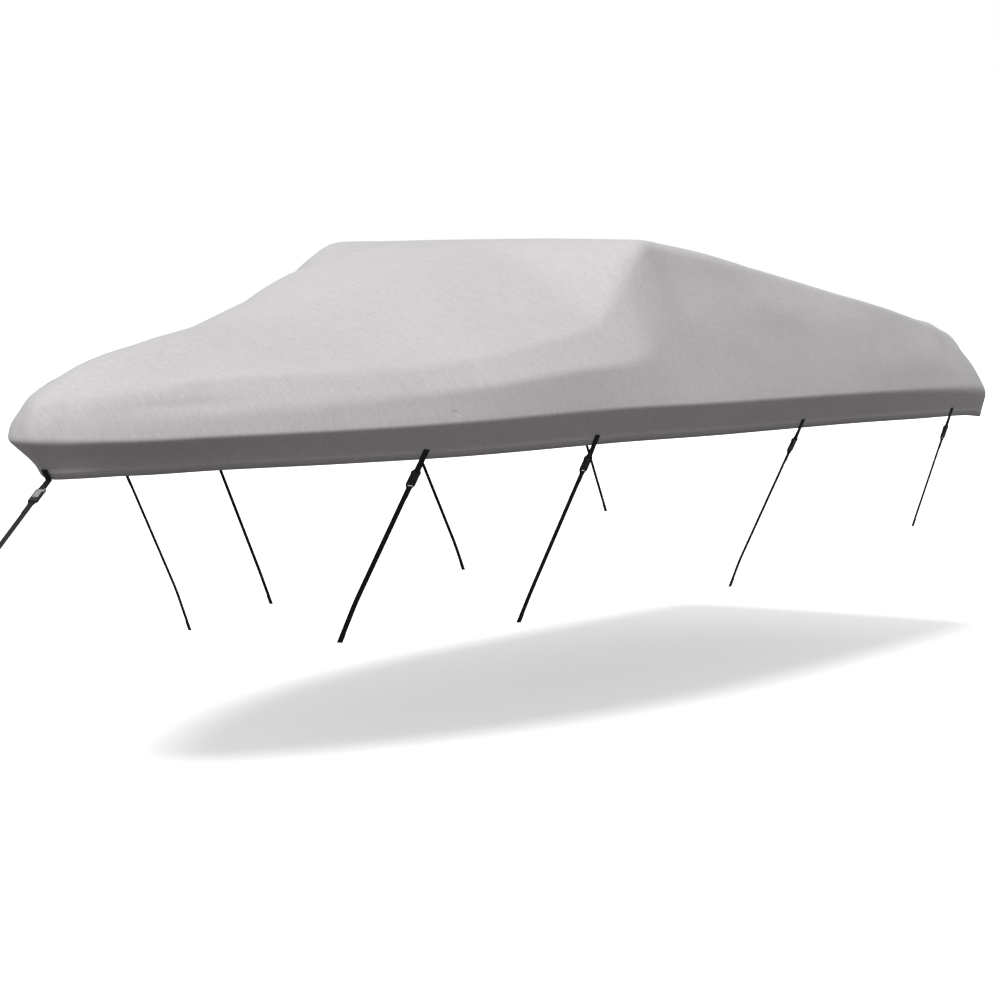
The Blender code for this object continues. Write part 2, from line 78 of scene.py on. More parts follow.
# Stations along the rim. x, y and rise give the rim's point. From it the hem lies inwards by tuck and
# down by drop, with the skirt drawn in by hollow, and the lower and the upper shoulder lie inwards and
# up. crown_x and crown_up give the crown's point on the middle line. The top reaches from it towards
# the upper shoulder by the share full, and slopes by fall. soft, bend and edge are the roundings of the
# upper shoulder, the lower shoulder and the rim.
Station = namedtuple("Station", "x y rise tuck drop hollow low_in low_up high_in high_up"
                                " full fall soft bend crown_x crown_up edge")
STATIONS = {
    "bow": Station(-2.72, 0.00, -0.060, 0.100, 0.125, 0.010, 0.014, 0.060, 0.056, 0.132,
                   0.56, 0.17, 0.050, 0.030, -2.10, 0.252, 0.016),
    "bow side": Station(-2.67, 0.115, -0.060, 0.085, 0.120, 0.012, 0.020, 0.060, 0.070, 0.144,
                        0.52, 0.17, 0.050, 0.030, -2.10, 0.252, 0.016),
    "nose": Station(-2.55, 0.24, -0.060, 0.110, 0.115, 0.014, 0.024, 0.064, 0.080, 0.158,
                    0.38, 0.15, 0.050, 0.035, -2.10, 0.252, 0.014),
    "fore shoulder": Station(-2.22, 0.445, -0.050, 0.095, 0.115, 0.008, 0.028, 0.080, 0.098, 0.174,
                             0.20, 0.06, 0.050, 0.030, -2.05, 0.264, 0.012),
    "fore": Station(-1.80, 0.645, -0.040, 0.080, 0.118, 0.004, 0.034, 0.095, 0.120, 0.188,
                    0.20, 0.00, 0.035, 0.026, -1.75, 0.310, 0.010),
    "rise": Station(-1.30, 0.82, -0.025, 0.070, 0.125, 0.000, 0.036, 0.115, 0.126, 0.206,
                    0.22, 0.00, 0.026, 0.020, -1.30, 0.415, 0.010),
    "face": Station(-0.75, 0.95, -0.005, 0.060, 0.130, 0.000, 0.044, 0.150, 0.150, 0.262,
                    0.30, 0.00, 0.018, 0.018, -0.80, 0.555, 0.010),
    "brow foot": Station(-0.42, 1.00, 0.000, 0.060, 0.130, 0.000, 0.068, 0.165, 0.203, 0.310,
                         0.36, 0.00, 0.018, 0.022, -0.55, 0.605, 0.010),
    "wing foot": Station(-0.30, 1.01, 0.000, 0.060, 0.130, 0.000, 0.080, 0.190, 0.240, 0.390,
                         0.38, 0.00, 0.035, 0.035, -0.42, 0.620, 0.010),
    "wing": Station(-0.20, 1.02, 0.000, 0.060, 0.130, 0.000, 0.098, 0.225, 0.255, 0.500,
                    0.45, 0.00, 0.060, 0.060, -0.28, 0.633, 0.010),
    "brow": Station(0.00, 1.04, 0.000, 0.060, 0.130, 0.000, 0.124, 0.280, 0.292, 0.632,
                    0.50, 0.00, 0.050, 0.110, 0.00, 0.643, 0.011),
    "lee": Station(0.24, 1.05, 0.000, 0.060, 0.130, 0.000, 0.152, 0.330, 0.318, 0.608,
                   0.50, 0.00, 0.050, 0.120, 0.24, 0.616, 0.012),
    "waist": Station(1.10, 1.05, 0.000, 0.060, 0.130, 0.000, 0.115, 0.275, 0.268, 0.492,
                     0.50, 0.00, 0.030, 0.120, 1.10, 0.497, 0.012),
    "aft": Station(2.00, 1.05, -0.005, 0.050, 0.130, 0.000, 0.070, 0.190, 0.160, 0.364,
                   0.50, 0.00, 0.030, 0.100, 1.95, 0.368, 0.016),
    "quarter": Station(2.64, 1.04, -0.020, 0.040, 0.120, 0.000, 0.056, 0.150, 0.148, 0.284,
                       0.50, 0.04, 0.060, 0.080, 2.35, 0.290, 0.030),
    "corner": Station(2.96, 0.95, -0.040, 0.030, 0.118, 0.000, 0.074, 0.124, 0.215, 0.255,
                      0.50, 0.08, 0.120, 0.080, 2.35, 0.290, 0.045),
    "stern side": Station(3.035, 0.60, -0.035, 0.030, 0.115, 0.000, 0.080, 0.140, 0.230, 0.278,
                          0.50, 0.11, 0.120, 0.080, 2.35, 0.290, 0.040),
    "stern": Station(3.04, 0.00, -0.030, 0.030, 0.115, 0.000, 0.080, 0.140, 0.230, 0.275,
                     0.50, 0.12, 0.120, 0.080, 2.35, 0.290, 0.040),
}

# Folds: soft ridges (+) and troughs (-) that run straight between two points near the cloth, highest in
# their middle. First the broad ones, then those that shape the outline, the narrow ones and the wing's.
Fold = namedtuple("Fold", "start end height width")
FOLDS = (
    Fold((-2.45, -0.23, -0.49), (-1.75, -0.50, -0.455), 0.006, 0.055),
    Fold((-2.20, -0.30, -0.44), (-1.45, -0.55, -0.38), -0.006, 0.070),
    Fold((-1.90, -0.56, -0.61), (-1.20, -0.80, -0.58), -0.006, 0.060),
    Fold((0.35, -0.92, -0.33), (1.30, -0.98, -0.46), -0.008, 0.110),
    Fold((0.60, -0.83, -0.20), (2.10, -0.90, -0.40), 0.007, 0.120),
    Fold((1.20, -1.00, -0.55), (2.50, -0.97, -0.52), 0.007, 0.090),
    Fold((-2.35, 0.26, -0.49), (-1.60, 0.56, -0.455), 0.006, 0.060),
    Fold((-2.00, 0.36, -0.42), (-1.30, 0.58, -0.36), -0.006, 0.075),
    Fold((-0.92, 0.60, -0.27), (0.06, 0.73, -0.03), 0.040, 0.180),
    Fold((0.50, 0.90, -0.30), (1.60, 0.96, -0.45), -0.008, 0.110),
    Fold((0.90, 0.84, -0.24), (2.30, 0.90, -0.42), 0.007, 0.120),
    Fold((0.90, -0.25, -0.09), (2.20, -0.30, -0.23), -0.010, 0.160),
    Fold((0.70, 0.30, -0.07), (2.00, 0.24, -0.21), -0.010, 0.160),
    Fold((2.80, -0.30, -0.42), (2.97, -0.34, -0.62), 0.008, 0.090),
    Fold((2.80, 0.42, -0.42), (2.97, 0.36, -0.62), -0.008, 0.100),
    Fold((-2.69, 0.02, -0.825), (-2.42, 0.30, -0.825), -0.032, 0.065),
    Fold((-2.60, 0.23, -0.63), (-2.36, 0.12, -0.47), -0.009, 0.060),
    Fold((-2.66, 0.10, -0.66), (-2.50, 0.28, -0.65), 0.008, 0.045),
    Fold((-2.55, 0.14, -0.553), (-2.50, 0.125, -0.515), -0.007, 0.040),
    Fold((-2.42, 0.22, -0.535), (-2.37, 0.22, -0.512), -0.004, 0.050),
    Fold((-1.20, 0.27, -0.25), (-0.60, 0.40, -0.09), 0.024, 0.110),
    Fold((-1.60, 0.18, -0.325), (-0.95, 0.30, -0.19), 0.010, 0.120),
    Fold((-0.62, 0.68, -0.23), (-0.12, 0.76, -0.08), 0.012, 0.100),
    Fold((2.38, -1.00, -0.40), (2.48, -0.68, -0.350), 0.010, 0.085),
    Fold((2.69, -1.02, -0.54), (2.73, -0.76, -0.43), -0.007, 0.070),
    Fold((-2.60, -0.04, -0.544), (-2.65, -0.07, -0.596), 0.0050, 0.014),
    Fold((-2.64, -0.065, -0.58), (-2.69, -0.07, -0.700), 0.0050, 0.013),
    Fold((-2.67, -0.03, -0.59), (-2.71, -0.02, -0.680), -0.0030, 0.013),
    Fold((-2.61, 0.02, -0.570), (-2.69, 0.03, -0.690), 0.0035, 0.014),
    Fold((-2.64, 0.09, -0.600), (-2.52, 0.10, -0.515), 0.0025, 0.018),
    Fold((-2.67, -0.08, -0.714), (-2.63, -0.02, -0.806), 0.0030, 0.013),
    Fold((-2.62, -0.16, -0.708), (-2.58, -0.12, -0.805), -0.0030, 0.014),
    Fold((-2.36, -0.25, -0.530), (-2.17, -0.335, -0.503), 0.0055, 0.021),
    Fold((-2.25, -0.30, -0.509), (-1.90, -0.465, -0.495), 0.0050, 0.021),
    Fold((-2.02, -0.41, -0.500), (-1.70, -0.56, -0.489), 0.0035, 0.022),
    Fold((-2.54, -0.20, -0.590), (-2.08, -0.47, -0.584), -0.0035, 0.026),
    Fold((0.67, -0.84, -0.230), (1.07, -0.91, -0.343), 0.0040, 0.060),
    Fold((2.36, -0.94, -0.420), (2.62, -1.01, -0.590), -0.0050, 0.045),
    Fold((-2.20, 0.40, -0.540), (-1.80, 0.56, -0.520), 0.0045, 0.022),
    Fold((1.30, 0.97, -0.420), (1.75, 0.97, -0.480), 0.0045, 0.050),
    Fold((2.98, 0.30, -0.500), (3.03, 0.34, -0.640), -0.0045, 0.040),
    Fold((2.97, -0.42, -0.480), (3.03, -0.36, -0.640), 0.0040, 0.040),
    Fold((0.02, -0.74, -0.03), (0.10, -0.89, -0.32), -0.007, 0.080),
    Fold((0.05, -0.70, -0.01), (0.85, -0.74, -0.115), 0.008, 0.100),
    Fold((0.00, -0.70, -0.005), (1.55, -0.80, -0.215), 0.011, 0.120),
)

# Creases: faint wrinkles, too narrow for the faces, between two points on the cloth. They are few,
# because a shader with more than about fifteen of them is too large to render.
Crease = namedtuple("Crease", "start end width rise")
CREASES = (
    Crease((-0.92, -0.39, -0.213), (-0.86, -0.49, -0.243), 0.011, 0.0024),
    Crease((-0.84, -0.41, -0.199), (-0.72, -0.53, -0.228), 0.011, 0.0022),
    Crease((-1.24, -0.22, -0.243), (-1.14, -0.37, -0.275), 0.016, 0.0028),
    Crease((-1.41, -0.77, -0.624), (-1.38, -0.79, -0.645), 0.007, -0.0026),
    Crease((-0.90, 0.44, -0.220), (-0.76, 0.57, -0.235), 0.013, -0.0024),
)

# ---------------------------------------------------------------------------------------------------
# Sizes of the ties
# ---------------------------------------------------------------------------------------------------

WEB_WIDTH = 0.025          # width of the webbing
WEB = 0.0014               # thickness of one layer of webbing
WEB_ROUND = 0.0004         # rounding of the webbing's long edges
GAP = 0.0003               # between pieces that touch
LAYER_GAP = 0.0002         # between two layers of one webbing
TAB_ON_SKIRT = 0.042       # length of the sewn part of a tab
BAR_DROP = 0.044           # from the hem down to the socket's bar
PLUG_BAR = 0.0660          # from the socket's bar to the plug's bar
TURN = 0.0033              # radius of the webbing's middle where it turns round a bar
TURN_START = 40            # degrees past level where the webbing meets a bar, and where it leaves it
TURN_END = 220
BAR_CLEAR = 3 * TURN       # below the plug's bar, where both layers of the strap lie straight
TAIL = 0.047               # free end of a strap, in front of it and below the plug's bar
END_LAP = 0.035            # length folded back and sewn at a strap's lower end
BEND_REACH = 0.020         # how far the bend near a strap's lower end spreads
BOX_START = 0.004          # box of stitches on a tab: where it begins, from the tab's end
BOX_END = 0.037            # where it ends
BOX_SIDE = 0.0092          # half its width
BOX_EDGE = 0.0005          # how far its outermost thread reaches past it
TURN_STEPS = 14            # straight pieces of webbing round a bar
FOLD_STEPS = 6             # straight pieces round the fold at a strap's lower end
SHARP_ANGLE = 50.0         # degrees between faces of webbing that meet in a sharp edge
RUN_STEP = 0.020           # length of the webbing's faces along a straight run
NEARBY = 0.010             # step along the rim for the direction of the hem

# Ties: where each leaves the hem along x, how many degrees it leans in towards the middle line, how
# long it runs in that line, and its lean and length below its bend. The bow tie leans forwards instead.
Tie = namedtuple("Tie", "x lean run end_lean end_run")
SIDE_TIES = {
    "1": Tie(-1.48, 29.0, 0.590, 24.5, 0.160),
    "2": Tie(-0.67, 26.0, 0.614, 24.5, 0.136),
    "3": Tie(0.87, 26.0, 0.627, 22.0, 0.122),
    "4": Tie(2.41, 19.0, 0.400, 19.0, 0.145),
}
BOW_TIE = Tie(-2.65, 50.0, 0.250, 50.0, 0.130)
GLINT_PAINTED_BUCKLE = "socket_bow"   # the one socket of light grey plastic, whose tone is a painted highlight for the glint on the bow buckle

# ---------------------------------------------------------------------------------------------------
# Tones and finishes: dark and light tone of each mottled material, and its sewing thread
# ---------------------------------------------------------------------------------------------------

Tones = namedtuple("Tones", "dark light")
CLOTH_TONES = Tones((0.372, 0.360, 0.363, 1), (0.518, 0.502, 0.506, 1))
CLOTH_THREAD = (0.34, 0.335, 0.335, 1)
WEBBING_TONES = Tones((0.0045, 0.0045, 0.005, 1), (0.0110, 0.0105, 0.0115, 1))
WEBBING_THREAD = (0.030, 0.030, 0.032, 1)
BLACK_PLASTIC_TONES = Tones((0.008, 0.008, 0.009, 1), (0.015, 0.015, 0.016, 1))
# Light grey of the bow socket: a painted highlight for the glint on that buckle, not a lit plastic.
GLINT_PAINTED_TONES = Tones((0.20, 0.20, 0.205, 1), (0.27, 0.27, 0.275, 1))
TONE_RANGE = (0.3, 0.7)    # parts of the noise's range that the dark and the light tone stand for
CLOUD_SHARE = 0.65         # share of the broad clouds in a mottle, against its specks
OVER_LIFT = 0.35           # how far a thread that passes over another stands up
STITCH_SHARE = 0.72        # share of a stitch's length that shows its thread

# ---------------------------------------------------------------------------------------------------
# Camera, light and floor
# ---------------------------------------------------------------------------------------------------

CAMERA_PLACE = (-9.2314, -5.9234, -0.2452)
CAMERA_HEADING = 57.639    # degrees from +Y towards +X
CAMERA_DIP = 4.223         # degrees below level
CAMERA_LENS = 97.2         # mm
CAMERA_SENSOR = 36.0       # mm, its width
CAMERA_REACH = 300.0       # how far the camera sees
FLOOR_LEVEL = -1.866       # height of the floor under the part
FLOOR_SIZE = 160.0         # side of the floor
KEY_HEADING = -100.0       # the broad lamp, far away: degrees from +Y towards +X
KEY_HEIGHT = 60.0          # degrees above level
KEY_SOFTNESS = 26.0        # degrees that the lamp spans
KEY_STRENGTH = 3.35
WHITE = (1.0, 1.0, 1.0)                # what the camera sees behind the part
SKY_LIGHT = (0.48, 0.48, 0.48)         # what the surroundings give to the part
FLOOR_BOUNCE = (0.158, 0.148, 0.150)   # share of its light that the floor throws back to the part
FLOOR_PAINT = (0.9, 0.9, 0.9)          # the floor that the camera sees
FLOOR_GLOW = (0.45, 0.45, 0.45)        # lifts the shadow on the floor


def new_object(name, data):
    """An object in the scene."""
    made = bpy.data.objects.new(name, data)
    bpy.context.collection.objects.link(made)
    return made


def mesh_object(name, mesh, finish):
    """An object from a bmesh, which is used up, with one material."""
    data = bpy.data.meshes.new(name)
    mesh.to_mesh(data)
    mesh.free()
    data.materials.append(finish)
    return new_object(name, data)


# ---------------------------------------------------------------------------------------------------
# Materials
# ---------------------------------------------------------------------------------------------------

def node_group(name, inputs, outputs):
    """An empty node group with float and colour sockets."""
    group = bpy.data.node_groups.new(name, "ShaderNodeTree")
    for label, kind, default in inputs:
        socket = group.interface.new_socket(label, in_out="INPUT", socket_type=kind)
        if default is not None:
            socket.default_value = default
    for label, kind in outputs:
        group.interface.new_socket(label, in_out="OUTPUT", socket_type=kind)
    return group, group.nodes.new("NodeGroupInput"), group.nodes.new("NodeGroupOutput")


def math_node(tree, operation, first, second=None):
    """Output of a math node. Numbers are set on its sockets, and other values are linked to them."""
    node = tree.nodes.new("ShaderNodeMath")
    node.operation = operation
    for socket, value in zip(node.inputs, (first, second)):
        if value is None:
            continue
        if isinstance(value, (int, float)):
            socket.default_value = value
        else:
            tree.links.new(value, socket)
    return node.outputs[0]


def uv_split(tree):
    """The piece's UV in metres, as a node with an output for each direction."""
    place = tree.nodes.new("ShaderNodeUVMap")
    place.uv_map = "cut"
    split = tree.nodes.new("ShaderNodeSeparateXYZ")
    tree.links.new(place.outputs[0], split.inputs[0])
    return split


def weave_group():
    """Plain weave: threads that pass over and under each other, from the piece's UV in metres."""
    group, inlet, outlet = node_group(
        "Weave", [("Pitch", "NodeSocketFloat", 0.001)], [("Height", "NodeSocketFloat")])
    split = uv_split(group)
    waves = []
    for axis in (0, 1):
        turns = math_node(group, "DIVIDE", split.outputs[axis], inlet.outputs["Pitch"])
        angle = math_node(group, "MULTIPLY", turns, math.pi)
        waves.append(math_node(group, "SINE", angle))
    over = math_node(group, "MULTIPLY", waves[0], waves[1])
    rounded = [math_node(group, "ABSOLUTE", wave) for wave in waves]
    crown = math_node(group, "MAXIMUM", rounded[0], rounded[1])
    lifted = math_node(group, "MULTIPLY", over, OVER_LIFT)
    total = math_node(group, "ADD", crown, lifted)
    group.links.new(total, outlet.inputs["Height"])
    return group


def mottle_group():
    """Uneven tone of a used finish, from broad clouds and fine specks."""
    group, inlet, outlet = node_group(
        "Mottle",
        [("Cloud Scale", "NodeSocketFloat", 1.0), ("Speck Scale", "NodeSocketFloat", 100.0)],
        [("Tone", "NodeSocketFloat")])
    place = group.nodes.new("ShaderNodeTexCoord")
    tones = []
    for label, detail in (("Cloud Scale", 4.0), ("Speck Scale", 2.0)):
        clouds = group.nodes.new("ShaderNodeTexNoise")
        clouds.inputs["Detail"].default_value = detail
        group.links.new(place.outputs["Object"], clouds.inputs["Vector"])
        group.links.new(inlet.outputs[label], clouds.inputs["Scale"])
        tones.append(clouds.outputs["Fac"])
    broad = math_node(group, "MULTIPLY", tones[0], CLOUD_SHARE)
    fine = math_node(group, "MULTIPLY", tones[1], 1 - CLOUD_SHARE)
    group.links.new(math_node(group, "ADD", broad, fine), outlet.inputs["Tone"])
    return group


def vector_node(tree, operation, first, second=None, output="Vector"):
    """Output of a vector math node, as for math_node."""
    node = tree.nodes.new("ShaderNodeVectorMath")
    node.operation = operation
    tree.links.new(first, node.inputs[0])
    if isinstance(second, tuple):
        node.inputs[1].default_value = second
    elif second:
        tree.links.new(second, node.inputs["Scale"] if operation == "SCALE" else node.inputs[1])
    return node.outputs[output]


def crease_group():
    """Height of a narrow wrinkle along a straight line between two points, which fades at both ends.

    Along is the line's reach divided by its squared length, and Fall is one over the squared width.
    """
    group, inlet, outlet = node_group(
        "Crease",
        [("Start", "NodeSocketVector", None), ("Reach", "NodeSocketVector", None),
         ("Along", "NodeSocketVector", None), ("Fall", "NodeSocketFloat", 10000.0),
         ("Rise", "NodeSocketFloat", 0.001)],
        [("Height", "NodeSocketFloat")])
    place = group.nodes.new("ShaderNodeTexCoord")
    offset = vector_node(group, "SUBTRACT", place.outputs["Object"], inlet.outputs["Start"])
    passed = vector_node(group, "DOT_PRODUCT", offset, inlet.outputs["Along"], "Value")
    share = math_node(group, "MULTIPLY", passed, 1.0)
    share.node.use_clamp = True
    nearest = vector_node(group, "SCALE", inlet.outputs["Reach"], share)
    away = vector_node(group, "SUBTRACT", offset, nearest)
    squared = vector_node(group, "DOT_PRODUCT", away, away, "Value")
    steepness = math_node(group, "MULTIPLY", squared, inlet.outputs["Fall"])
    profile = math_node(group, "POWER", 1 / math.e, steepness)
    fade = math_node(group, "SINE", math_node(group, "MULTIPLY", share, math.pi))
    shape = math_node(group, "MULTIPLY", profile, fade)
    group.links.new(math_node(group, "MULTIPLY", shape, inlet.outputs["Rise"]), outlet.inputs["Height"])
    return group


def crease_heights(tree, crease):
    """Height of all creases together."""
    total = None
    for line in CREASES:
        start, reach = Vector(line.start), Vector(line.end) - Vector(line.start)
        node = place_group(tree, crease, Start=tuple(start), Reach=tuple(reach),
                           Along=tuple(reach / reach.length_squared), Fall=line.width ** -2, Rise=line.rise)
        height = node.outputs["Height"]
        total = height if total is None else math_node(tree, "ADD", total, height)
    return total


def threads_group():
    """Uneven threads: long thin streaks of tone along the cover and round it."""
    group, inlet, outlet = node_group(
        "Uneven threads",
        [("Fineness", "NodeSocketFloat", 260.0), ("Length", "NodeSocketFloat", 16.0)],
        [("Tone", "NodeSocketFloat")])
    place = group.nodes.new("ShaderNodeTexCoord")
    fine, long = inlet.outputs["Fineness"], inlet.outputs["Length"]
    streaks = []
    for scales in ((long, fine, fine), (fine, long, long)):
        stretch = group.nodes.new("ShaderNodeCombineXYZ")
        for socket, scale in zip(stretch.inputs, scales):
            group.links.new(scale, socket)
        thread = group.nodes.new("ShaderNodeTexNoise")
        thread.inputs["Scale"].default_value = 1.0
        thread.inputs["Detail"].default_value = 1.5
        vector = vector_node(group, "MULTIPLY", place.outputs["Object"], stretch.outputs[0])
        group.links.new(vector, thread.inputs["Vector"])
        streaks.append(thread.outputs["Fac"])
    both = math_node(group, "ADD", streaks[0], streaks[1])
    group.links.new(math_node(group, "MULTIPLY", both, 0.5), outlet.inputs["Tone"])
    return group


def stitch_group():
    """Mask of rows of running stitches, along one UV direction and at one distance across it."""
    group, inlet, outlet = node_group(
        "Stitches",
        [("Along", "NodeSocketFloat", 0.0), ("Across", "NodeSocketFloat", 0.0),
         ("Row", "NodeSocketFloat", 0.02), ("Length", "NodeSocketFloat", 0.008),
         ("Thread", "NodeSocketFloat", 0.0012)],
        [("Mask", "NodeSocketFloat")])
    turns = math_node(group, "DIVIDE", inlet.outputs["Along"], inlet.outputs["Length"])
    share = math_node(group, "FRACT", turns)
    stitch = math_node(group, "LESS_THAN", share, STITCH_SHARE)
    away = math_node(group, "SUBTRACT", inlet.outputs["Across"], inlet.outputs["Row"])
    off = math_node(group, "ABSOLUTE", away)
    near = math_node(group, "LESS_THAN", off, inlet.outputs["Thread"])
    group.links.new(math_node(group, "MULTIPLY", stitch, near), outlet.inputs["Mask"])
    return group


def place_group(tree, group, **values):
    """A group's node in a material. Values are set on its sockets or linked to them, by their labels."""
    node = tree.nodes.new("ShaderNodeGroup")
    node.node_tree = group
    for label, value in values.items():
        socket = node.inputs[label.replace("_", " ")]
        if isinstance(value, (int, float, tuple)):
            socket.default_value = value
        else:
            tree.links.new(value, socket)
    return node


def two_tones(tree, factor, tones):
    """Colour between two tones."""
    ramp = tree.nodes.new("ShaderNodeValToRGB")
    for element, position, tone in zip(ramp.color_ramp.elements, TONE_RANGE, tones):
        element.position = position
        element.color = tone
    tree.links.new(factor, ramp.inputs["Fac"])
    return ramp.outputs["Color"]


def mixed(tree, factor, first, second):
    """Mix of two colours. Sockets 6, 7 and 2 are the node's colour sockets."""
    mix = tree.nodes.new("ShaderNodeMix")
    mix.data_type = "RGBA"
    tree.links.new(factor, mix.inputs["Factor"])
    for socket, value in ((mix.inputs[6], first), (mix.inputs[7], second)):
        if isinstance(value, tuple):
            socket.default_value = value
        else:
            tree.links.new(value, socket)
    return mix.outputs[2]


def bump(tree, height, strength, distance, normal=None):
    node = tree.nodes.new("ShaderNodeBump")
    node.inputs["Strength"].default_value = strength
    node.inputs["Distance"].default_value = distance
    tree.links.new(height, node.inputs["Height"])
    if normal:
        tree.links.new(normal, node.inputs["Normal"])
    return node.outputs["Normal"]


def new_material(name):
    """A material with its node tree and its shader."""
    made = bpy.data.materials.new(name)
    made.use_nodes = True
    return made, made.node_tree, made.node_tree.nodes["Principled BSDF"]


def cloth_material(weave, mottle, stitches, threads, crease):
    made, tree, shader = new_material("coated_cloth")
    split = uv_split(tree)
    tone = place_group(tree, mottle, Cloud_Scale=0.9, Speck_Scale=60.0)
    slubs = place_group(tree, threads, Fineness=230.0, Length=14.0)
    total = math_node(tree, "ADD", math_node(tree, "MULTIPLY", tone.outputs["Tone"], 0.5),
                      math_node(tree, "MULTIPLY", slubs.outputs["Tone"], 0.5))
    cloth = two_tones(tree, total, CLOTH_TONES)
    seam = place_group(tree, stitches, Along=split.outputs[0], Across=split.outputs[1], Row=HEM_SEAM)
    tree.links.new(mixed(tree, seam.outputs["Mask"], cloth, CLOTH_THREAD), shader.inputs["Base Color"])
    woven = place_group(tree, weave, Pitch=0.0011)
    normal = bump(tree, woven.outputs["Height"], strength=0.12, distance=0.0002)
    normal = bump(tree, seam.outputs["Mask"], strength=0.5, distance=0.0006, normal=normal)
    normal = bump(tree, crease_heights(tree, crease), strength=1.0, distance=1.0, normal=normal)
    tree.links.new(normal, shader.inputs["Normal"])
    shader.inputs["Roughness"].default_value = 0.78
    shader.inputs["Specular IOR Level"].default_value = 0.35
    shader.inputs["Sheen Weight"].default_value = 0.12
    shader.inputs["Sheen Roughness"].default_value = 0.5
    return made


def sewn_box(tree, stitches):
    """Mask of the box of stitches with a cross in it that holds a tab's folded end."""
    split = uv_split(tree)
    along, side = split.outputs[0], math_node(tree, "ABSOLUTE", split.outputs[1])
    middle = (BOX_START + BOX_END) / 2
    from_middle = math_node(tree, "ABSOLUTE", math_node(tree, "SUBTRACT", along, middle))
    slope = BOX_SIDE / (BOX_END - middle)
    diagonal = math_node(tree, "SUBTRACT", side, math_node(tree, "MULTIPLY", from_middle, slope))
    rows = ((along, side, BOX_SIDE), (along, diagonal, 0.0),
            (split.outputs[1], from_middle, BOX_END - middle))
    masks = [place_group(tree, stitches, Along=run, Across=across, Row=row, Length=0.0034,
                         Thread=0.00045).outputs["Mask"] for run, across, row in rows]
    total = math_node(tree, "MAXIMUM", math_node(tree, "MAXIMUM", masks[0], masks[1]), masks[2])
    inside_length = math_node(tree, "LESS_THAN", from_middle, BOX_END - middle + BOX_EDGE)
    inside_width = math_node(tree, "LESS_THAN", side, BOX_SIDE + BOX_EDGE)
    inside = math_node(tree, "MULTIPLY", inside_length, inside_width)
    return math_node(tree, "MULTIPLY", total, inside)


def webbing_material(name, weave, mottle, stitches, is_sewn):
    made, tree, shader = new_material(name)
    tone = place_group(tree, mottle, Cloud_Scale=14.0, Speck_Scale=900.0)
    colour = two_tones(tree, tone.outputs["Tone"], WEBBING_TONES)
    woven = place_group(tree, weave, Pitch=0.0018)
    normal = bump(tree, woven.outputs["Height"], strength=0.5, distance=0.0003)
    if is_sewn:
        box = sewn_box(tree, stitches)
        colour = mixed(tree, box, colour, WEBBING_THREAD)
        normal = bump(tree, box, strength=0.6, distance=0.0004, normal=normal)
    tree.links.new(colour, shader.inputs["Base Color"])
    tree.links.new(normal, shader.inputs["Normal"])
    shader.inputs["Roughness"].default_value = 0.68
    shader.inputs["Specular IOR Level"].default_value = 0.25
    shader.inputs["Sheen Weight"].default_value = 0.04
    return made


def buckle_material(name, mottle, tones):
    made, tree, shader = new_material(name)
    tone = place_group(tree, mottle, Cloud_Scale=30.0, Speck_Scale=1500.0)
    tree.links.new(two_tones(tree, tone.outputs["Tone"], tones), shader.inputs["Base Color"])
    normal = bump(tree, tone.outputs["Tone"], strength=0.15, distance=0.0003)
    tree.links.new(normal, shader.inputs["Normal"])
    shader.inputs["Roughness"].default_value = 0.38
    return made


# ---------------------------------------------------------------------------------------------------
# Stations and sections
# ---------------------------------------------------------------------------------------------------

def mirrored(station):
    """The same station on the other side of the middle line."""
    return station._replace(y=-station.y)


def rim_positions(stations):
    """Distance along the rim, seen from above, from the bow to each station."""
    along = [0.0]
    for before, after in zip(stations, stations[1:]):
        along.append(along[-1] + math.hypot(after.x - before.x, after.y - before.y))
    return along


def even_slopes(places, values):
    """Slopes for a smooth curve that never swings past its stations."""
    slopes = []
    for i in range(1, len(places) - 1):
        before, after = places[i] - places[i - 1], places[i + 1] - places[i]
        rise = (values[i] - values[i - 1]) / before
        fall = (values[i + 1] - values[i]) / after
        if rise * fall <= 0:
            slopes.append(0.0)
        else:
            first, second = 2 * after + before, after + 2 * before
            slopes.append((first + second) / (first / rise + second / fall))
    return slopes


class Loft:
    """Stations read as smooth curves along the rim.

    A mirrored station past each end makes the curves cross the middle line squarely.
    """

    def __init__(self, stations):
        self.rows = list(stations)
        self.places = rim_positions(self.rows)
        first, last = self.places[1], self.places[-1] - self.places[-2]
        places = [-first] + self.places + [self.places[-1] + last]
        rows = [mirrored(self.rows[1])] + self.rows + [mirrored(self.rows[-2])]
        self.slopes = [even_slopes(places, [row[k] for row in rows]) for k in range(len(Station._fields))]

    def at(self, place):
        """The station at a place along the rim."""
        index = max(i for i, start in enumerate(self.places[:-1]) if place >= start or i == 0)
        span = self.places[index + 1] - self.places[index]
        t = (place - self.places[index]) / span
        ease_out, ease_in = 2 * t ** 3 - 3 * t ** 2 + 1, 3 * t ** 2 - 2 * t ** 3
        lead, trail = t ** 3 - 2 * t ** 2 + t, t ** 3 - t ** 2
        before, after = self.rows[index], self.rows[index + 1]
        return Station(*(ease_out * before[k] + ease_in * after[k]
                         + span * (lead * self.slopes[k][index] + trail * self.slopes[k][index + 1])
                         for k in range(len(Station._fields))))

    def place_of_hem(self, x):
        """Place whose hem lies at x, found by halving, between the bow and the stern corner."""
        low, high = 0.0, self.places[-4]
        for _ in range(SEARCH_STEPS):
            middle = (low + high) / 2
            if section_corners(self.at(middle))[0].x < x:
                low = middle
            else:
                high = middle
        return low


